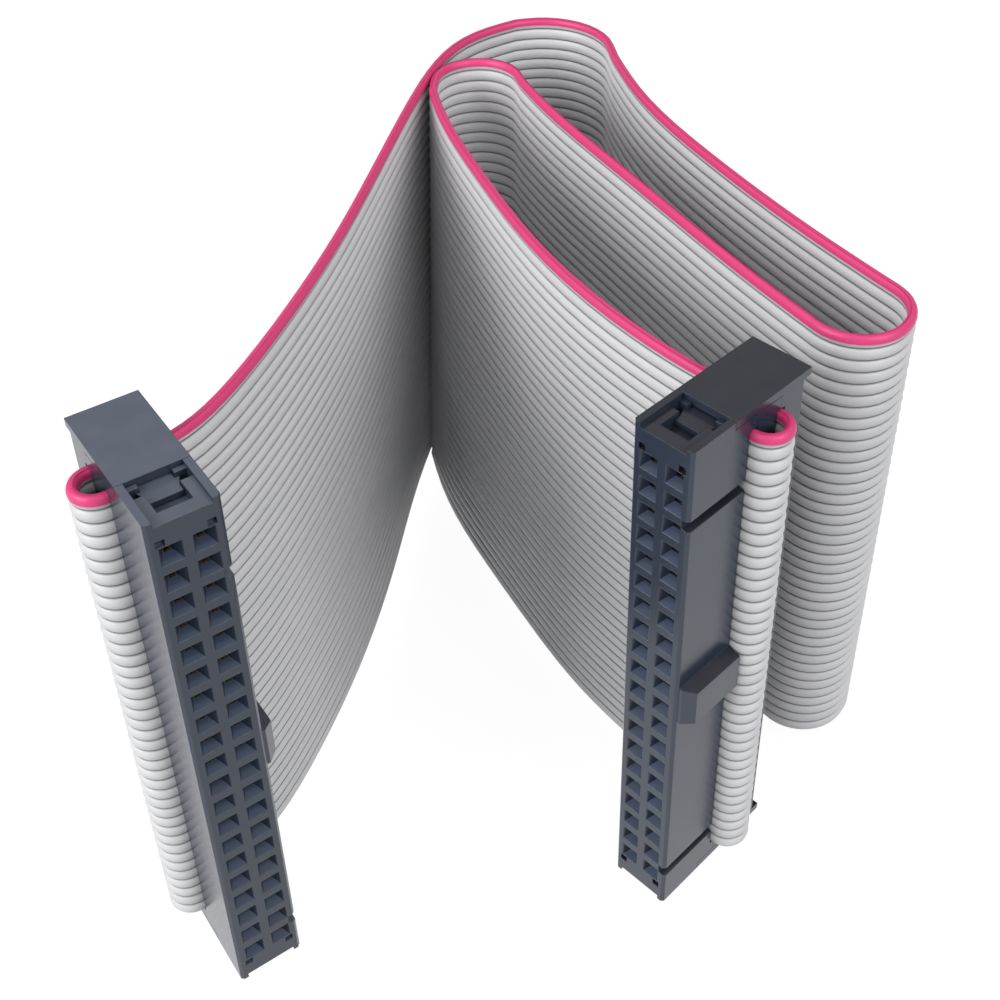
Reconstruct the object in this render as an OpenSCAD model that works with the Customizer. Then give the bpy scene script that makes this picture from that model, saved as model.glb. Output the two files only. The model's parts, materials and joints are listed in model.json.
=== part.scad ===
// Flat ribbon cable with a two-row insulation-displacement socket on each end.
// It stands on edge: the conductors run level and the sockets stand on their ends.

/* [Ribbon] */
// Number of conductors side by side
conductors = 40; // [20:2:50]
// Spacing of the conductors
pitch = 1.27; // [1.2:0.01:1.4]
// Thickness of the ribbon over its ridges
ribbon_t = 0.9; // [0.7:0.05:1]

/* [Socket body] */
// Width of the socket across its two rows
body_w = 5.8; // [5.7:0.1:7]
// Depth of the body from its mating face to the ribbon
body_d = 6.85; // [6.4:0.05:7.5]
// Length of the body past the ribbon's edge, at each end
end_l = 2.1; // [1.9:0.1:3]
// Chamfer on the long edges of the mating face
edge_chamfer = 0.25; // [0.1:0.05:0.4]

/* [Socket openings] */
// Width of the square opening for a pin
pin_opening = 0.85; // [0.7:0.05:0.9]
// Width of the funnel that leads a pin in, at the mating face
funnel_w = 1.75; // [1.4:0.05:1.9]
// Depth of the funnel
funnel_d = 0.8; // [0.5:0.1:1]
// Side of the square dimples beside the outermost openings
dimple_w = 0.7; // [0.4:0.1:0.8]
// Depth of the dimples
dimple_d = 0.5; // [0.3:0.1:0.8]

/* [Key and grooves] */
// Length of the key along the socket
key_l = 4.2; // [3:0.1:5]
// Height of the key over the side wall
key_h = 1.2; // [0.8:0.1:1.5]
// Distance of the key from the mating face
key_setback = 0.3; // [0.3:0.1:1]
// Width of the grooves across the key's wall
groove_w = 1.1; // [0.6:0.1:1.5]
// Depth of the grooves
groove_d = 0.7; // [0.3:0.1:0.7]
// Distance of the upper groove from the upper end
groove_top = 7.4; // [6:0.1:9]
// Distance of the lower groove from the lower end
groove_foot = 4.5; // [4:0.1:6]

/* [Ends of the body] */
// Thickness of the rails beside the recess in each end
rail_t = 0.65; // [0.4:0.05:0.75]
// Depth of the recess between the rails
recess_d = 0.45; // [0.2:0.05:0.7]
// Width of the bridge between the mating face and the latch's channel
bridge_t = 1.3; // [0.9:0.1:1.5]

/* [Cover and strain relief] */
// Thickness of the cover between the two layers of ribbon
cover_t = 2.4; // [2.2:0.05:3.5]
// Width of the cover's latch tongue
tongue_w = 2.6; // [2:0.1:3]
// Thickness of the latch tongue
tongue_t = 0.55; // [0.4:0.05:0.6]
// Thickness of the strain relief behind the outer layer of ribbon
relief_t = 2.3; // [1.6:0.1:3]
// Thickness of the strain relief's arms, which lie over both ends of the socket
arm_t = 0.75; // [0.6:0.05:0.8]
// Distance of the arms' front edges from the mating face
arm_front = 5; // [4.8:0.1:6]
// How far the arms reach past the back of the strain relief
arm_past = 0.9; // [0:0.1:1.5]
// Width of the hooks that hold the arms on the cover
hook_w = 3.2; // [2.4:0.1:3.6]

/* [Contacts] */
// Thickness of the contact sheet
sheet_t = 0.3; // [0.2:0.05:0.4]
// Width of the fork that grips the pin
fork_w = 1.5; // [1.3:0.05:1.6]
// Gap between the fork's jaws
jaw_gap = 0.45; // [0.3:0.05:0.55]
// Width of one tine that cuts through the insulation
tine_w = 0.34; // [0.25:0.01:0.36]
// Slot between the two tines, which grips the conductor
tine_slot = 0.28; // [0.2:0.02:0.32]

/* [Layout] */
// Left socket: middle of its mating face, to the right
left_x = -21.5; // [-25:0.5:-18]
// Left socket: middle of its mating face, to the back
left_y = -43.5; // [-46:0.5:-42]
// Left socket: turn about the upright
left_turn = 38.5; // [35:0.5:42]
// Right socket: middle of its mating face, to the right
right_x = 11.5; // [9:0.5:13]
// Right socket: middle of its mating face, to the back
right_y = -34; // [-36:0.5:-33]
// Right socket: turn about the upright
right_turn = -41; // [-44:0.5:-38]

/* [Fits] */
// Clearance between pieces that slide or clip together
fit = 0.05; // [0.02:0.01:0.1]

/* [Hidden] */

// Through cuts run this far past the faces that they open
past = 1;
// Bends are drawn with a flat for each step of this angle or less
bend_step = 7.5;

// The ribbon, its ridges level, with the same margin of the socket above and below
ribbon_w = conductors * pitch;
socket_l = ribbon_w + 2 * end_l;
rows = conductors / 2;
row_pitch = 2 * pitch;

// Depths behind the mating face: each layer of ribbon has its clearance on both sides
layer_t = ribbon_t + 2 * fit;
inner_y = body_d + layer_t / 2;
cover_y = body_d + layer_t;
outer_y = cover_y + cover_t + layer_t / 2;
relief_y = cover_y + cover_t + layer_t;
back_y = relief_y + relief_t;
socket_d = back_y + arm_past;

// The body and the cover end short of the arms that lie over them
arm_seat = arm_t + fit;
recess_w = body_w - 2 * rail_t;

// Latch: a tongue of the cover lies in a channel on each end of the body, under the arm
tongue_gap = 1.6;
tongue_z = arm_seat + fit;
channel_d = tongue_z + tongue_t + fit;
pocket_y = 3.5;
pocket_l = 1;
barb_h = 0.35;
// The strain relief's hooks sit in a groove of the cover, past a shelf
shelf_t = 1.2;
hook_h = 0.3;
hook_l = 0.6;
hook_lead = 0.2;

// The key rises from its foot at the mating face to its full height
key_foot = 0.3;
key_ramp = 0.9;
// Slopes of the key's upper flank and the grooves' lower flank
key_slope = 0.5;
groove_slope = 0.3;

// Contact: lengths of its features, one behind the other from the funnel's floor
fork_setback = 0.2;
jaw_lead = 0.5;
jaw_l = 0.6;
throat_l = 1.5;
web_l = 1;
shoulder_l = 0.3;
tine_root = 0.3;
tine_past = 1;
tine_point = 0.5;
throat_relief = 0.11;
fork_y = funnel_d + fork_setback;
jaw_y = fork_y + jaw_lead;
throat_y = jaw_y + jaw_l;
root_y = throat_y + throat_l;
shoulder_y = root_y + web_l;
head_y = shoulder_y + shoulder_l;
slot_y = head_y + tine_root;
tip_y = cover_y + tine_past;
throat_w = jaw_gap + 2 * throat_relief;
head_w = tine_slot + 2 * tine_w;

// The layout's points are measured from here, and the part stands over its own middle
middle = [0.25, -0.33];
// The side that the ribbon loops round: -1 is the plain side, 1 the key side
LEFT = [[left_x, left_y] - middle, left_turn, -1];
RIGHT = [[right_x, right_y] - middle, right_turn, 1];

// The loop clears the socket's side by this much before it bends
loop_clear = 0.15;
loop_r = (outer_y - inner_y) / 2;
loop_x = body_w / 2 + loop_clear + loop_r;
// The ribbon leaves each socket straight, with its first corner this far past the socket
exit_lead = 1.5;
entry_lead = 2.5;

// Route of the ribbon between the sockets, seen from above: corners and bend radii
FREE_ROUTE = [
    [-22.9, -29.3, 12], [-20.2, -18.5, 100], [-17.5, -4, 80], [-15.5, 22, 60], [-12.5, 41, 12],
    [4.5, 46.5, 8], [9, 25, 40], [24, 0.5, 100], [34, -12, 4.5], [28.5, -20.5, 4.5], [19, -8, 22],
    [7, 11, 80], [-1.5, 24, 22], [-5.5, 33, 5], [-13.5, 30.5, 5], [-13.5, 21, 16], [5, -13, 22]
];
exit_bend = 8;
entry_bend = 20;

function seat(s, x, y) =
    [s[0].x + x * cos(s[1]) - y * sin(s[1]), s[0].y + x * sin(s[1]) + y * cos(s[1])];
function corner(s, x, y, r) = [each seat(s, x, y), r];
// A socket's end of the route, from the cut end round the loop and out on the other side
function socket_route(s, lead, bend) = [
    corner(s, -s[2] * body_w / 2, inner_y, 0),
    corner(s, s[2] * loop_x, inner_y, loop_r),
    corner(s, s[2] * loop_x, outer_y, loop_r),
    corner(s, -s[2] * (body_w / 2 + lead), outer_y, bend)
];
function backwards(list) = [for (i = [len(list) - 1:-1:0]) list[i]];

function flat(p) = [p.x, p.y];
function unit(v) = v / norm(v);
function quarter_turn(v) = [-v.y, v.x];
function turned(v, a) = [v.x * cos(a) - v.y * sin(a), v.x * sin(a) + v.y * cos(a)];
function turn_between(u, v) = atan2(u.x * v.y - u.y * v.x, u * v);

// How much of the stretches beside a corner its bend takes up, and what share of that fits
function reach(route, i) = i == 0 || i == len(route) - 1 ? 0 :
    route[i].z * abs(tan(turn_between(flat(route[i] - route[i - 1]), flat(route[i + 1] - route[i])) / 2));
function share(route, i, j) = norm(flat(route[j] - route[i])) / (reach(route, i) + reach(route, j));
// Neighbouring bends that are too wide for the stretch between them are tightened to fit it
function fitted(route) = let (last = len(route) - 1) [
    route[0],
    for (i = [1:last - 1])
        [each flat(route[i]), route[i].z * min(1, share(route, i, i - 1), share(route, i, i + 1))],
    route[last]
];
ROUTE = fitted(concat(
    socket_route(LEFT, exit_lead, exit_bend),
    [for (p = FREE_ROUTE) [p.x - middle.x, p.y - middle.y, p.z]],
    backwards(socket_route(RIGHT, entry_lead, entry_bend))
));

// Points of one side of the ribbon, at a distance to the left of the route
function bend_side(before, here, after, off) =
    let (u = unit(flat(here) - flat(before)),
         v = unit(flat(after) - flat(here)),
         turn = turn_between(u, v),
         start = flat(here) - u * here.z * abs(tan(turn / 2)),
         left = quarter_turn(u),
         centre = start + left * here.z * sign(turn),
         steps = max(2, ceil(abs(turn) / bend_step)))
    [for (k = [0:steps])
        centre + turned(left * (off - here.z * sign(turn)), turn * k / steps)];
function end_side(here, direction, off) = flat(here) + quarter_turn(unit(direction)) * off;
// Two bends that follow each other without a straight share a point, which is kept once
function distinct(list) =
    [for (i = [0:len(list) - 1]) if (i == 0 || norm(list[i] - list[i - 1]) > 0.01) list[i]];
function ribbon_side(route, off) = let (last = len(route) - 1) distinct([
    end_side(route[0], flat(route[1]) - flat(route[0]), off),
    for (i = [1:last - 1]) each bend_side(route[i - 1], route[i], route[i + 1], off),
    end_side(route[last], flat(route[last]) - flat(route[last - 1]), off)
]);

module place(s) translate([s[0].x, s[0].y, 0]) rotate([0, 0, s[1]]) children();

module at_both_ends() {
    children();
    translate([0, 0, socket_l]) mirror([0, 0, 1]) children();
}

// A box given by its middle across the socket, and from and to in depth and height
module block(w, y0, y1, z0, z1, x = 0)
    translate([x - w / 2, y0, z0]) cube([w, y1 - y0, z1 - z0]);

// Repeats its children at the middle height of each pair of openings
module each_row()
    for (r = [0:rows - 1])
        translate([0, 0, end_l + (r + 0.5) * row_pitch]) children();

// A side view, height to the right and depth up, given its width across the socket
module across(w) translate([-w / 2, 0, 0]) rotate([0, -90, 0]) mirror([0, 0, 1]) linear_extrude(w) children();

// Side view of a piece whose end feet reach further towards the mating face than its middle
module bar_profile(inset, foot_y, y0, y1, head_y)
    polygon([
        [inset, foot_y], [end_l - fit, foot_y], [end_l - fit, y0],
        [socket_l - end_l + fit, y0], [socket_l - end_l + fit, foot_y],
        [socket_l - inset, foot_y], [socket_l - inset, head_y],
        [socket_l - end_l + fit, head_y], [socket_l - end_l + fit, y1],
        [end_l - fit, y1], [end_l - fit, head_y], [inset, head_y]
    ]);

module tine_slots(side)
    each_row()
        for (t = [-1, 1])
            translate([side * pitch, 0, side * pitch / 2 + t * (tine_slot + tine_w) / 2])
                block(sheet_t + 2 * fit, body_d - past, cover_y + past,
                      -tine_w / 2 - fit, tine_w / 2 + fit);

module ribbon() color([0.75, 0.75, 0.76]) difference() {
    translate([0, 0, end_l])
        linear_extrude(ribbon_w)
            polygon(concat(ribbon_side(ROUTE, ribbon_t / 2),
                           backwards(ribbon_side(ROUTE, -ribbon_t / 2))));
    for (s = [LEFT, RIGHT]) place(s) {
        tine_slots(1);
        tine_slots(-1);
    }
}

module funnels() intersection() {
    mouth = funnel_w + (funnel_w - pin_opening) / funnel_d * past;
    each_row() across(body_w)
        polygon([[-mouth / 2, -past], [mouth / 2, -past],
                 [pin_opening / 2, funnel_d], [-pin_opening / 2, funnel_d]]);
    for (side = [-1, 1]) translate([side * pitch, 0, 0])
        linear_extrude(socket_l)
            polygon([[-mouth / 2, -past], [mouth / 2, -past],
                     [pin_opening / 2, funnel_d], [-pin_opening / 2, funnel_d]]);
}

module contact_cavity(side) translate([side * pitch, 0, 0]) {
    slot_w = sheet_t + 2 * fit;
    block(pin_opening, funnel_d - fit, root_y, -pin_opening / 2, pin_opening / 2);
    block(slot_w, fork_y - fit, body_d + past, -fork_w / 2 - fit, fork_w / 2 + fit);
    translate([0, 0, side * pitch / 2])
        block(slot_w, shoulder_y, body_d + past, -head_w / 2 - fit, head_w / 2 + fit);
}

module key() translate([body_w / 2, 0, socket_l / 2]) intersection() {
    rotate([90, 0, 0]) mirror([0, 0, 1]) linear_extrude(body_d)
        polygon([[-edge_chamfer, -key_l / 2], [key_h, -key_l / 2],
                 [key_h, key_l / 2 - key_slope], [0, key_l / 2], [-edge_chamfer, key_l / 2]]);
    translate([0, 0, -key_l]) linear_extrude(2 * key_l)
        polygon([[-edge_chamfer, key_setback], [key_foot, key_setback],
                 [key_h, key_setback + key_ramp], [key_h, body_d], [-edge_chamfer, body_d]]);
}

// A groove across the key's wall: square above, sloped out below
module wall_groove(z) translate([body_w / 2, 0, z])
    rotate([90, 0, 0]) translate([0, 0, -inner_y - past]) linear_extrude(inner_y + 2 * past)
        polygon([[-groove_d, groove_w / 2], [past, groove_w / 2],
                 [past, -groove_w / 2 - groove_slope * past],
                 [-groove_d, -groove_w / 2 + groove_slope * groove_d]]);

module latch_channel() {
    block(recess_w, -past, arm_front + past, -past, recess_d);
    block(tongue_w + 2 * fit, bridge_t, inner_y + past, -past, channel_d);
    block(recess_w, pocket_y, pocket_y + pocket_l, -past, channel_d);
}

module dimples() for (side = [-1, 1])
    block(dimple_w, -past, dimple_d, end_l - dimple_w / 2, end_l + dimple_w / 2,
          side * (body_w / 2 - dimple_w - edge_chamfer));

module socket_body() color([0.27, 0.29, 0.34]) {
    difference() {
        intersection() {
            across(body_w) polygon([
                [0, 0], [socket_l, 0], [socket_l, arm_front], [socket_l - arm_seat, arm_front],
                [socket_l - arm_seat, inner_y], [socket_l - end_l + fit, inner_y],
                [socket_l - end_l + fit, body_d], [end_l - fit, body_d], [end_l - fit, inner_y],
                [arm_seat, inner_y], [arm_seat, arm_front], [0, arm_front]
            ]);
            linear_extrude(socket_l) polygon([
                [-body_w / 2, inner_y], [-body_w / 2, edge_chamfer],
                [-body_w / 2 + edge_chamfer, 0], [body_w / 2 - edge_chamfer, 0],
                [body_w / 2, edge_chamfer], [body_w / 2, inner_y]
            ]);
        }
        funnels();
        each_row() {
            contact_cavity(-1);
            contact_cavity(1);
        }
        at_both_ends() {
            latch_channel();
            dimples();
        }
        wall_groove(groove_foot);
        wall_groove(socket_l - groove_top);
    }
    key();
}

module tongue() translate([0, 0, tongue_z]) linear_extrude(tongue_t) {
    barb_y = pocket_y + pocket_l - fit;
    polygon([
        [-tongue_w / 2, inner_y + fit], [-tongue_w / 2, barb_y],
        [-tongue_w / 2 - barb_h, barb_y], [-tongue_w / 2, pocket_y + fit],
        [-tongue_w / 2, bridge_t + tongue_gap], [tongue_w / 2, bridge_t + tongue_gap],
        [tongue_w / 2, pocket_y + fit], [tongue_w / 2 + barb_h, barb_y],
        [tongue_w / 2, barb_y], [tongue_w / 2, inner_y + fit]
    ]);
}

// Groove across the cover's end for a hook of the strain relief
module hook_groove()
    block(hook_w + 2 * fit, inner_y + shelf_t, inner_y + shelf_t + hook_l + 2 * fit,
          arm_t, arm_seat + hook_h);

module cover() color([0.24, 0.26, 0.31]) difference() {
    union() {
        across(body_w) bar_profile(arm_seat, inner_y, cover_y, cover_y + cover_t, outer_y);
        at_both_ends() tongue();
    }
    at_both_ends() hook_groove();
    each_row() for (side = [-1, 1])
        translate([side * pitch, 0, side * pitch / 2])
            block(sheet_t + 2 * fit, cover_y - past, tip_y + fit, -head_w / 2 - fit, head_w / 2 + fit);
}

// An arm lies over the ends of cover and body; its hook slides in over the cover's edge
module relief_arm() {
    hook_y = inner_y + shelf_t + fit;
    block(body_w, arm_front + fit, socket_d, 0, arm_t);
    across(hook_w)
        polygon([[arm_t - fit, hook_y], [arm_t, hook_y], [arm_t + hook_h, hook_y + hook_lead],
                 [arm_t + hook_h, hook_y + hook_l], [arm_t - fit, hook_y + hook_l]]);
}

module strain_relief() color([0.2, 0.21, 0.25]) {
    across(body_w) bar_profile(0, outer_y, relief_y, back_y, back_y);
    at_both_ends() relief_arm();
}

// Stamped contact: jaws for the pin towards the mating face, tines for the wire behind
module contact(side) {
    h = side * pitch / 2;
    translate([side * pitch, 0, 0]) across(sheet_t) polygon([
        [-fork_w / 2, fork_y], [-throat_w / 2, fork_y], [-jaw_gap / 2, jaw_y],
        [-throat_w / 2, throat_y], [-throat_w / 2, root_y], [throat_w / 2, root_y],
        [throat_w / 2, throat_y], [jaw_gap / 2, jaw_y], [throat_w / 2, fork_y],
        [fork_w / 2, fork_y], [fork_w / 2, shoulder_y],
        [h + head_w / 2, head_y], [h + head_w / 2, tip_y - tine_point],
        [h + tine_slot / 2 + tine_w / 2, tip_y], [h + tine_slot / 2, tip_y - tine_point],
        [h + tine_slot / 2, slot_y], [h - tine_slot / 2, slot_y],
        [h - tine_slot / 2, tip_y - tine_point], [h - tine_slot / 2 - tine_w / 2, tip_y],
        [h - head_w / 2, tip_y - tine_point], [h - head_w / 2, head_y],
        [-fork_w / 2, shoulder_y]
    ]);
}

module contact_row(side) color([0.8, 0.66, 0.36]) each_row() contact(side);

ribbon();
place(LEFT) socket_body();  // socket_body_left
place(RIGHT) socket_body();  // socket_body_right
place(LEFT) cover();  // cover_left
place(RIGHT) cover();  // cover_right
place(LEFT) strain_relief();  // strain_relief_left
place(RIGHT) strain_relief();  // strain_relief_right
place(LEFT) contact_row(1);  // odd_contacts_left
place(LEFT) contact_row(-1);  // even_contacts_left
place(RIGHT) contact_row(1);  // odd_contacts_right
place(RIGHT) contact_row(-1);  // even_contacts_right
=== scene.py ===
"""Visual model of a flat ribbon cable that stands on edge with a two-row socket on each end."""
import json
from math import atan2, ceil, radians, tan

import bmesh
import bpy
from mathutils import Matrix, Vector


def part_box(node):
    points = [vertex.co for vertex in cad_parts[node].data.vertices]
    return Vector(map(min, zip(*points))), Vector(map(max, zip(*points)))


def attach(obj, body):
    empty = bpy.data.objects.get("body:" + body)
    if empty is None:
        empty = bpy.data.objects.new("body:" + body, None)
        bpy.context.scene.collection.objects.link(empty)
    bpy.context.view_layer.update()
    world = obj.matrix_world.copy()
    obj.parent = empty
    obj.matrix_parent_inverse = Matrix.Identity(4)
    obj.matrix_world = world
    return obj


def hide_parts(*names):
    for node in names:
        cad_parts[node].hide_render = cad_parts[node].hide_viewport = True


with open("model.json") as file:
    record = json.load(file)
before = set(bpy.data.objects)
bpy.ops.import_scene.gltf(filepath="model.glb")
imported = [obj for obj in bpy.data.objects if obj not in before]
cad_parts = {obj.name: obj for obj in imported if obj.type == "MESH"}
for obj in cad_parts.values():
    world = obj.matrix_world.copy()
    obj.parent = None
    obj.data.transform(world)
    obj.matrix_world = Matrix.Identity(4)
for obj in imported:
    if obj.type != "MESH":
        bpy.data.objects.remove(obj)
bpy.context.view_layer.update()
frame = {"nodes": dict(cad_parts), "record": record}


# The camera stands close to where the photograph was taken from: in front of the sockets' mating
# faces and over them, a little under twice the part's depth from its middle, with an ordinary lens.
CAMERA_PLACE = (0.00756, -0.11717, 0.12456)
CAMERA_DOWN = radians(35.54)
CAMERA_LEFT = radians(2.04)
CAMERA_ROLL = radians(0.43)

camera_data = bpy.data.cameras.new("camera")
camera_data.sensor_width = 36
camera_data.lens = 53.33
camera_data.shift_x = -0.0727
camera_data.shift_y = -0.1763
camera_data.clip_start = 0.005
camera_data.clip_end = 5
camera = bpy.data.objects.new("camera", camera_data)
camera.matrix_world = (
    Matrix.Translation(CAMERA_PLACE)
    @ Matrix.Rotation(CAMERA_LEFT, 4, "Z")
    @ Matrix.Rotation(radians(90) - CAMERA_DOWN, 4, "X")
    @ Matrix.Rotation(CAMERA_ROLL, 4, "Z")
)
bpy.context.scene.collection.objects.link(camera)
bpy.context.scene.camera = camera


# The ribbon: forty stranded wires side by side in one extrusion of soft PVC, light grey with a
# pink-red wire along its upper edge. It is pressed into each socket, loops round the cover and
# leaves under the strain relief; between the sockets it turns back three times and stands on edge.
CONDUCTORS = 40
PITCH = 0.00127
WEB_T = 0.0003
RIBBON_W = CONDUCTORS * PITCH
SOCKET_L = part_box("socket_body_left")[1].z
EDGE_MARGIN = (SOCKET_L - RIBBON_W) / 2
# Half the socket's width, and the depths of the two layers of ribbon behind the mating face
HALF_BODY_W = 0.0029
INNER_Y = 0.00735
OUTER_Y = 0.01075
# The loop clears the socket's side by this much before it bends
LOOP_CLEAR = 0.00015
LOOP_R = (OUTER_Y - INNER_Y) / 2
LOOP_X = HALF_BODY_W + LOOP_CLEAR + LOOP_R
# The route's places are measured from here, and the part stands over its own middle
MIDDLE = Vector((0.00025, -0.00033))
# Corners between the sockets: place, bend radius, and how far the top edge leans past the foot
FREE_ROUTE = [
    (-0.0229, -0.0293, 0.012, 0, 0),
    (-0.0202, -0.0185, 0.100, 0, 0),
    (-0.0175, -0.004, 0.080, 0, 0),
    (-0.0155, 0.022, 0.060, 0.0018, 0),
    (-0.0125, 0.041, 0.012, 0.001, 0),
    (0.0045, 0.0465, 0.0078, 0, 0),
    (0.009, 0.025, 0.040, 0, 0),
    (0.024, 0.0005, 0.100, 0, 0),
    (0.034, -0.012, 0.0045, 0, -0.001),
    (0.0285, -0.0205, 0.0045, 0.0003, -0.0017),
    (0.019, -0.008, 0.022, 0, 0),
    (0.007, 0.011, 0.080, 0, 0),
    (-0.0015, 0.024, 0.022, 0, 0),
    (-0.0055, 0.033, 0.0045, 0.001, 0.0015),
    (-0.0135, 0.0305, 0.0045, 0.0018, 0.0025),
    (-0.0135, 0.021, 0.016, 0.0022, 0.003),
    (0.0046, -0.0134, 0.050, -0.001, -0.001),
]
# At each socket: how far past it the first corner lies, and that corner's radius
EXIT = (0.0015, 0.008)
ENTRY = (0.0025, 0.020)
# This many corners at each end of the route belong to the socket there
SOCKET_CORNERS = 4
# Stations along the route are no further apart than this, and each turns by no more than this
STATION_STEP = 0.0032
BEND_STEP = radians(10)
# A straight longer than a whole number of steps by less than this share gets no extra station
STEP_SLACK = 0.01
# Bends gentler than this are eased into the straights beside them
GENTLE = 0.0079
EASING_PASSES = 12
# A ridge's outline: distance from its middle along the width, and half the thickness there
RIDGE = [
    (-0.00050, 0.00029),
    (-0.00028, 0.00041),
    (0.00000, 0.00045),
    (0.00028, 0.00041),
    (0.00050, 0.00029),
]
# The ribbon's two edges are rounded: how far in from the edge, and half the thickness there
EDGE_ROUNDING = 0.00003
EDGE_HALF_T = 0.00018
# Points of the mesh that are nearer than this are the grid's seam
SEAM = 0.000002

mounts = {mount["name"]: mount for mount in frame["record"]["mounts"]}


def socket_place(side):
    """The matrix that puts a socket's own frame at its mount."""
    mount = mounts[f"mating_face_{side}"]
    out = mount["axis"]
    turn = atan2(out[0], -out[1])
    place = Matrix.Translation((mount["pos_m"][0], mount["pos_m"][1], 0))
    return place @ Matrix.Rotation(turn, 4, "Z")


def socket_corners(side, loop, lead, bend):
    """A socket's end of the route: from the cut end, round the loop and out on the other side."""
    place = socket_place(side)
    spots = [
        (-loop * HALF_BODY_W, INNER_Y, 0),
        (loop * LOOP_X, INNER_Y, LOOP_R),
        (loop * LOOP_X, OUTER_Y, LOOP_R),
        (-loop * (HALF_BODY_W + lead), OUTER_Y, bend),
    ]
    return [((place @ Vector((x, y, 0))).to_2d(), radius, Vector((0, 0))) for x, y, radius in spots]


# Each corner of the route: place, bend radius and lean
ROUTE = socket_corners("left", -1, *EXIT)
for x, y, radius, lean_x, lean_y in FREE_ROUTE:
    ROUTE.append((Vector((x, y)) - MIDDLE, radius, Vector((lean_x, lean_y))))
ROUTE += reversed(socket_corners("right", 1, *ENTRY))


def bend_points(before, here, after, radius, steps):
    """Points along the arc that rounds one corner."""
    u = (here - before).normalized()
    v = (after - here).normalized()
    turn = atan2(u.x * v.y - u.y * v.x, u.dot(v))
    hand = 1 if turn > 0 else -1
    out = Vector((-u.y, u.x)) * -radius * hand
    centre = here - u * radius * abs(tan(turn / 2)) - out
    return [centre + Matrix.Rotation(turn * k / steps, 2) @ out for k in range(steps + 1)]


def edge_line(share):
    """The route at a height, from 0 at the foot to 1 at the top edge, as evenly spaced points."""
    mean = [point for point, radius, lean in ROUTE]
    corners = [point + lean * (share - 0.5) for point, radius, lean in ROUTE]
    line = [corners[0]]
    gentle = [False]
    reached = mean[0]
    for i in range(1, len(ROUTE) - 1):
        radius = ROUTE[i][1]
        turn = (mean[i] - mean[i - 1]).angle(mean[i + 1] - mean[i])
        room = radius * tan(turn / 2)
        straight = max(0, ceil(((mean[i] - reached).length - room) / STATION_STEP - STEP_SLACK))
        steps = max(2, ceil(turn / BEND_STEP), ceil(turn * radius / STATION_STEP))
        bend = bend_points(*corners[i - 1:i + 2], radius, steps)
        line += [line[-1].lerp(bend[0], k / straight) for k in range(1, straight)]
        between_sockets = SOCKET_CORNERS <= i <= len(ROUTE) - SOCKET_CORNERS
        gentle += [between_sockets] * max(0, straight - 1)
        first = 0 if straight > 0 else 1
        line += bend[first:]
        gentle += [radius >= GENTLE] * (steps + 1 - first)
        reached = mean[i] + (mean[i + 1] - mean[i]).normalized() * room
    line.append(corners[-1])
    gentle.append(False)
    for _ in range(EASING_PASSES):
        eased = list(line)
        for i in range(1, len(line) - 1):
            if all(gentle[i - 1:i + 2]):
                eased[i] = (line[i - 1] + line[i] * 2 + line[i + 1]) / 4
        line = eased
    return line


def headings(line):
    """The direction of travel at each point of a line, as on the circle through its neighbours."""
    ways = []
    for i, point in enumerate(line):
        back = point - line[max(0, i - 1)]
        ahead = line[min(len(line) - 1, i + 1)] - point
        if back.length and ahead.length:
            way = back.normalized() * ahead.length + ahead.normalized() * back.length
        else:
            way = back + ahead
        ways.append(way.normalized())
    return ways


def ribbon_outline():
    """The ribbon's cross-section: height over its foot and distance to one side of its middle."""
    side = []
    for n in range(CONDUCTORS):
        if n:
            side.append((n * PITCH, WEB_T / 2))
        side += [((n + 0.5) * PITCH + along, half) for along, half in RIDGE]
    foot_cap = (EDGE_ROUNDING, EDGE_HALF_T)
    top_cap = (RIBBON_W - EDGE_ROUNDING, EDGE_HALF_T)
    # The second side's top cap follows its lowest ridge, which leaves two thin stray sheets there
    first = [foot_cap, *side, top_cap]
    second = [*reversed(side), top_cap, foot_cap]
    return first + [(height, -half) for height, half in second]


def ribbon_mesh():
    """Lays a grid's rows along the route and wraps each row round the cross-section."""
    foot = edge_line(0)
    top = edge_line(1)
    foot_ways = headings(foot)
    top_ways = headings(top)
    outline = ribbon_outline()
    rows = len(foot) - 1
    columns = len(outline)
    mesh = bmesh.new()
    bmesh.ops.create_grid(mesh, x_segments=rows, y_segments=columns, size=0.5)
    for vert in mesh.verts:
        row = round((vert.co.x + 0.5) * rows)
        height, aside = outline[round((vert.co.y + 0.5) * columns) % columns]
        share = height / RIBBON_W
        way = foot_ways[row].lerp(top_ways[row], share).normalized()
        place = foot[row].lerp(top[row], share) + Vector((-way.y, way.x)) * aside
        vert.co = (place.x, place.y, EDGE_MARGIN + height)
    bmesh.ops.remove_doubles(mesh, verts=mesh.verts, dist=SEAM)
    bmesh.ops.holes_fill(mesh, edges=[edge for edge in mesh.edges if edge.is_boundary], sides=0)
    bmesh.ops.recalc_face_normals(mesh, faces=mesh.faces)
    # The two cut ends are the only faces of more than four corners, and they stay flat
    for face in mesh.faces:
        face.smooth = len(face.verts) < 5
    data = bpy.data.meshes.new("ribbon")
    mesh.to_mesh(data)
    mesh.free()
    half_way_up = EDGE_MARGIN + RIBBON_W / 2
    return data, [(*((a + b) / 2), half_way_up) for a, b in zip(foot, top)]


def shown(name, data):
    """An object at the origin with that mesh, in the scene."""
    made = bpy.data.objects.new(name, data)
    bpy.context.scene.collection.objects.link(made)
    return made


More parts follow.
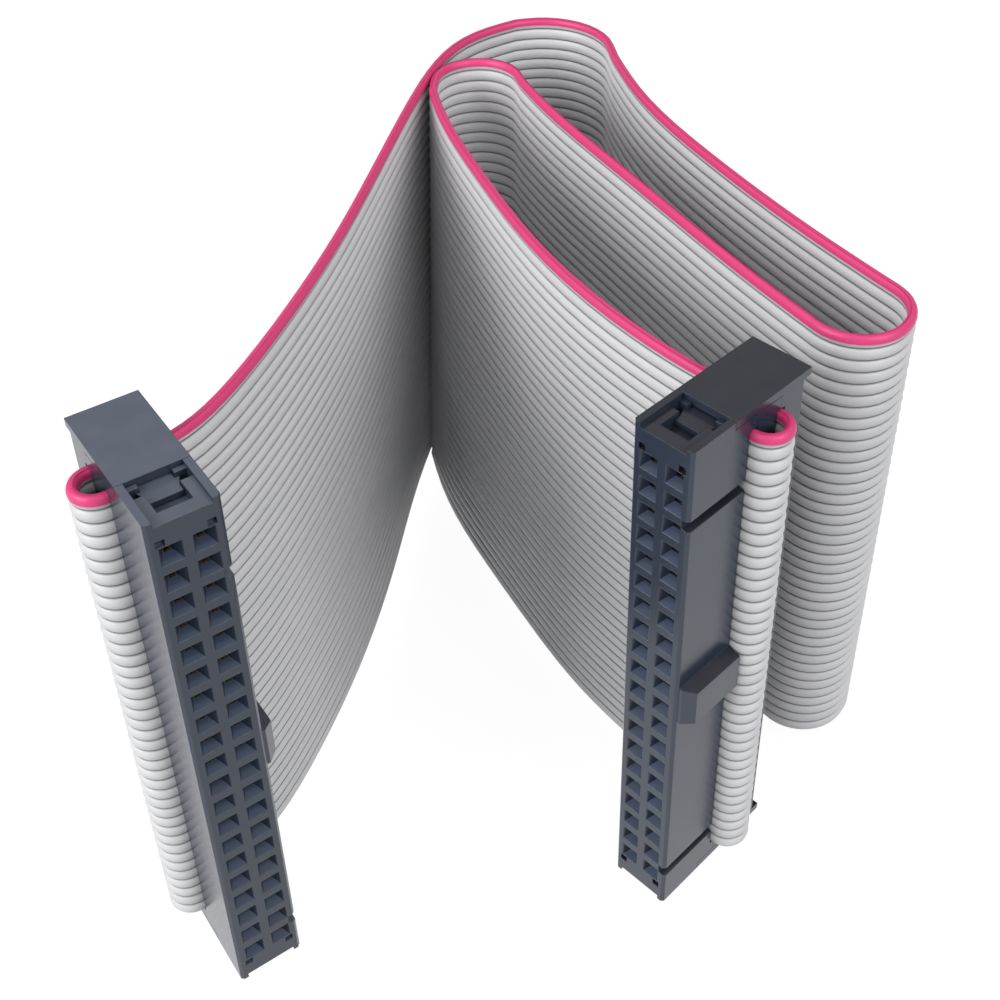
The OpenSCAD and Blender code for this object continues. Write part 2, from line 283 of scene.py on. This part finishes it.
class Finish:
    """A socket of a material's nodes. Operators on it add the Math nodes that work them out."""

    def __init__(self, tree, socket):
        self.tree = tree
        self.socket = socket

    def add(self, kind, settings, inputs, output=0):
        """A node of that type, with its settings and its sockets' values or links; one output of it."""
        node = self.tree.nodes.new(kind)
        for name, value in settings.items():
            setattr(node, name, value)
        for name, value in inputs.items():
            if isinstance(value, Finish):
                self.tree.links.new(value.socket, node.inputs[name])
            else:
                node.inputs[name].default_value = value
        return Finish(self.tree, node.outputs[output])

    def math(self, operation, *others):
        return self.add("ShaderNodeMath", {"operation": operation}, dict(enumerate((self, *others))))

    def __add__(self, other):
        return self.math("ADD", other)

    def __sub__(self, other):
        return self.math("SUBTRACT", other)

    def __mul__(self, other):
        return self.math("MULTIPLY", other)

    def __truediv__(self, other):
        return self.math("DIVIDE", other)

    def __rsub__(self, other):
        return self * -1 + other

    __radd__ = __add__
    __rmul__ = __mul__

    def over(self, low, high):
        """0 below low, 1 above high, and smooth between them."""
        return self.add("ShaderNodeMapRange", {"interpolation_type": "SMOOTHSTEP"},
                        {"Value": self, "From Min": low, "From Max": high})

    def mix(self, first, second):
        """Colours mixed by this value."""
        return self.add("ShaderNodeMix", {"data_type": "RGBA"},
                        {"Factor": self, 6: first, 7: second}, output=2)

    def height(self):
        """The upward part of a place or a direction."""
        return self.add("ShaderNodeSeparateXYZ", {}, {"Vector": self}, output="Z")

    def noise(self, scale, detail=2, stretch=(1, 1, 1)):
        """Noise over the object coordinates, from 0 to 1, drawn out along an axis by a small number."""
        place = self.add("ShaderNodeVectorMath", {"operation": "MULTIPLY"}, {0: self, 1: stretch})
        return self.add("ShaderNodeTexNoise", {}, {"Vector": place, "Scale": scale, "Detail": detail})

    def bump(self, strength, distance, **more):
        """A normal that follows this value as a height."""
        return self.add("ShaderNodeBump", {},
                        {"Height": self, "Strength": strength, "Distance": distance, **more})


def new_finish(name):
    """A new material, its surface shader, and its object coordinates."""
    material = bpy.data.materials.new(name)
    material.use_nodes = True
    tree = material.node_tree
    shader = tree.nodes["Principled BSDF"]
    coordinates = Finish(tree, tree.nodes.new("ShaderNodeTexCoord").outputs["Object"])
    return material, shader, coordinates


def feed(shader, **inputs):
    """Sets the shader's sockets; a name's underscores stand for spaces."""
    for name, value in inputs.items():
        socket = shader.inputs[name.replace("_", " ")]
        if isinstance(value, Finish):
            value.tree.links.new(value.socket, socket)
        else:
            socket.default_value = value


RIBBON_GREY = (0.60, 0.605, 0.62, 1)
RIBBON_PALE_GREY = (0.67, 0.67, 0.68, 1)
# Painted shade: the dark colour laid into the valleys between the ridges
RIBBON_VALLEY_PAINTED_SHADE = (0.16, 0.16, 0.175, 1)
EDGE_PINK = (0.72, 0.05, 0.20, 1)
# Where the valleys' painted shade starts and is full, as a share of the pitch from the middle of a
# ridge
VALLEY_FROM = 0.38
VALLEY_FULL = 0.49
# How far under the top edge the pink starts and is full
PINK_FROM = 0.00092
PINK_FULL = 0.00068
PVC_IOR = 1.5


def ribbon_finish():
    """Satin PVC: pale ridges, valleys darkened by painted shade, and the marked upper wire."""
    material, shader, spot = new_finish("ribbon_insulation")
    height = spot.height()
    wires = (height - EDGE_MARGIN) / PITCH
    # Painted shade darkens each valley between two ridges
    painted_valley_shade = (wires.math("FRACT") - 0.5).math("ABSOLUTE").over(VALLEY_FROM, VALLEY_FULL)
    wire = wires.math("FLOOR")
    tint = wire.add("ShaderNodeTexWhiteNoise", {"noise_dimensions": "1D"}, {"W": wire})
    shade = spot.noise(60) * 0.5 + tint * 0.5
    grey = painted_valley_shade.mix(shade.mix(RIBBON_GREY, RIBBON_PALE_GREY), RIBBON_VALLEY_PAINTED_SHADE)
    top_edge = EDGE_MARGIN + RIBBON_W
    pink = height.over(top_edge - PINK_FROM, top_edge - PINK_FULL)
    rubbed = spot.noise(9000, 3, (1, 1, 0.4))
    grain = spot.noise(5000, 3)
    feed(shader, Base_Color=pink.mix(grey, EDGE_PINK), Roughness=0.36 + rubbed * 0.14,
         Normal=grain.bump(0.12, 0.00004), IOR=PVC_IOR)
    return material


ribbon_data, ribbon_path = ribbon_mesh()
ribbon = shown("ribbon_ridged", ribbon_data)
ribbon_data.materials.append(ribbon_finish())
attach(ribbon, "root")
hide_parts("ribbon")

# The ribbon with the right-hand socket on its end is one free cord, and leaves the left socket
ribbon_exit = socket_place("left") @ Vector((HALF_BODY_W, OUTER_Y, EDGE_MARGIN + RIBBON_W / 2))


# The sockets: on each end a body, a cover that presses the ribbon on to the contacts, and a strain
# relief over the looped ribbon. All three are moulded in slate-grey glass-filled polyester, with a
# fine spark-eroded grain, and clip together by their tongues and hooked arms.
SLATE = (0.021, 0.030, 0.050, 1)
# Painted shade: side walls and grooves that look up are coloured nearly black, as they are in the
# photograph
SLATE_FLANK_PAINTED_SHADE = (0.004, 0.005, 0.009, 1)
# Painted light and shade: the socket's upper end is painted paler than its sides on the left, and
# nearly black on the right
UPPER_END_PAINTED_LIGHT_AND_SHADE = {"left": (0.105, 0.125, 0.160, 1), "right": (0.016, 0.015, 0.018, 1)}
# How much paler than the sides the funnels' lower slopes (painted light) and the worn patches are
PAINTED_LIGHT_SLOPE_PALER = 2.3
WORN_PALER = 1.5
# A face's upward or forward part, from 0 to 1, where the change of colour, which is painted light and
# shade, starts and is full
TURNED_FROM = 0.25
TURNED_FULL = 0.40
LEVEL_FROM = 0.90
LEVEL_FULL = 0.96
# Radius of the mouldings' edges, and the rays that round them in the shading
EDGE_R = 0.00012
EDGE_RAYS = 4
POLYESTER_IOR = 1.5


def paler(colour, times):
    """That colour with more light in it."""
    return (*(part * times for part in colour[:3]), 1)


def slate_finish(side):
    """Moulded slate plastic with worn patches; painted light and shade in its colour follow the way
    that a face looks.
    """
    material, shader, spot = new_finish(f"slate_{side}")
    normal = spot.add("ShaderNodeNewGeometry", {}, {}, output="Normal")
    mating = tuple(mounts[f"mating_face_{side}"]["axis"])
    upward = normal.height()
    forward = normal.add("ShaderNodeVectorMath", {"operation": "DOT_PRODUCT"},
                         {0: normal, 1: mating}, output="Value")
    turned_up = upward.over(TURNED_FROM, TURNED_FULL)
    # Painted shade: faces that look up are coloured nearly black
    painted_shade_flank = turned_up.mix(SLATE, SLATE_FLANK_PAINTED_SHADE)
    # Painted light: faces that look up and forward, such as the funnels' lower slopes, are coloured
    # paler
    painted_light_slope = turned_up.mix(SLATE, paler(SLATE, PAINTED_LIGHT_SLOPE_PALER))
    walls = forward.over(TURNED_FROM, TURNED_FULL).mix(painted_shade_flank, painted_light_slope)
    # Painted light on the left and painted shade on the right, on faces that look straight up
    base = upward.over(LEVEL_FROM, LEVEL_FULL).mix(walls, UPPER_END_PAINTED_LIGHT_AND_SHADE[side])
    worn_with_painted_light_and_shade = (spot.noise(350, 3) * 0.5).mix(base, paler(SLATE, WORN_PALER))
    rounded = spot.add("ShaderNodeBevel", {"samples": EDGE_RAYS}, {"Radius": EDGE_R})
    grain = spot.noise(9000, 3)
    feed(shader, Base_Color=worn_with_painted_light_and_shade, Roughness=0.15 + spot.noise(2500, 3) * 0.12,
         Normal=grain.bump(0.1, 0.00003, Normal=rounded), IOR=POLYESTER_IOR)
    return material


for side in ("left", "right"):
    finish = slate_finish(side)
    for piece in ("socket_body", "cover", "strain_relief"):
        node = frame["nodes"][f"{piece}_{side}"]
        node.data.materials.clear()
        node.data.materials.append(finish)


# The contacts: forty to a socket, stamped from thin copper alloy and gold plated. They stand in the
# body's cavities, pierce the ribbon with their tines, and are seen only down the openings.
# Painted shade: both golds are far darker than gold plate, standing in for the shade of the cavities
SHADED_GOLD = (0.20, 0.13, 0.05, 1)
LIGHTER_GOLD_IN_PAINTED_SHADE = (0.36, 0.24, 0.10, 1)


def gold_finish():
    """Thin gold plate with the faint drag lines of the stamping, darkened by painted shade."""
    material, shader, spot = new_finish("contact_gold")
    drag = spot.noise(4000, 2, (1, 1, 0.1))
    feed(shader, Base_Color=drag.mix(SHADED_GOLD, LIGHTER_GOLD_IN_PAINTED_SHADE), Metallic=1.0,
         Roughness=0.28 + drag * 0.15)
    return material


gold = gold_finish()
for side in ("left", "right"):
    for row in ("odd", "even"):
        node = frame["nodes"][f"{row}_contacts_{side}"]
        node.data.materials.clear()
        node.data.materials.append(gold)


# The floor is one white sheet. The camera sees it white with only a faint shadow, what mirrors it
# sees it white, and to the lamps it is a plain matt surface.
FLOOR_HALF_SIZE = 1.5
FLOOR_GREY = (0.32, 0.32, 0.32, 1)
FLOOR_ROUGHNESS = 0.9
# How much of the lit surface, with its shadow, shows through the white
SHADOW_SHARE = 0.35
SHADOWED_WHITE = 1.45


def floor_finish():
    """A white glow for the camera and for mirrors, mixed with the lit surface."""
    material = bpy.data.materials.new("white_floor")
    material.use_nodes = True
    tree = material.node_tree
    rays = tree.nodes.new("ShaderNodeLightPath").outputs
    seen = Finish(tree, rays["Is Camera Ray"])
    mirrored = Finish(tree, rays["Is Glossy Ray"])
    lit = tree.nodes["Principled BSDF"]
    feed(lit, Base_Color=FLOOR_GREY, Roughness=FLOOR_ROUGHNESS)
    white = tree.nodes.new("ShaderNodeEmission")
    feed(white, Strength=seen * SHADOWED_WHITE + mirrored)
    both = tree.nodes.new("ShaderNodeMixShader")
    feed(both, Fac=(seen * (1 - SHADOW_SHARE)).math("MAXIMUM", mirrored))
    tree.links.new(lit.outputs[0], both.inputs[1])
    tree.links.new(white.outputs[0], both.inputs[2])
    tree.links.new(both.outputs[0], tree.nodes["Material Output"].inputs["Surface"])
    return material


floor_mesh = bmesh.new()
bmesh.ops.create_grid(floor_mesh, x_segments=1, y_segments=1, size=FLOOR_HALF_SIZE)
floor_data = bpy.data.meshes.new("floor")
floor_mesh.to_mesh(floor_data)
floor_mesh.free()
floor_object = shown("floor", floor_data)
floor_data.materials.append(floor_finish())


# The light comes from a white room that is brighter overhead, which leaves the folds' insides dim,
# and from two large soft boxes in front. The camera sees the room as plain white.
ROOM_WHITE = (1, 1, 1, 1)
ROOM_AT_EYE_LEVEL = 0.22
ROOM_ADDED_OVERHEAD = 0.46
OVERHEAD_FULL = 0.9
LAMPS_AIM = (0, 0, 0.03)
LAMP_SIZE = 0.40

world = bpy.data.worlds.new("studio")
world.use_nodes = True
studio = world.node_tree
sky = Finish(studio, studio.nodes.new("ShaderNodeTexCoord").outputs["Generated"])
seen = Finish(studio, studio.nodes.new("ShaderNodeLightPath").outputs["Is Camera Ray"])
dim = sky.height().over(0.0, OVERHEAD_FULL) * ROOM_ADDED_OVERHEAD + ROOM_AT_EYE_LEVEL
feed(studio.nodes["Background"], Color=ROOM_WHITE, Strength=seen.math("MAXIMUM", dim))
bpy.context.scene.world = world


def soft_box(name, place, power):
    """A square area lamp that looks at the part."""
    lamp = bpy.data.lights.new(name, "AREA")
    lamp.size = LAMP_SIZE
    lamp.energy = power
    made = bpy.data.objects.new(name, lamp)
    made.location = place
    made.rotation_euler = (Vector(LAMPS_AIM) - Vector(place)).to_track_quat("-Z", "Y").to_euler()
    bpy.context.scene.collection.objects.link(made)


soft_box("key", (-0.48, -0.38, 0.32), 3.6)
soft_box("fill", (0.45, -0.42, 0.35), 2.2)

bpy.context.scene.view_settings.view_transform = "Standard"
bpy.context.view_layer.update()
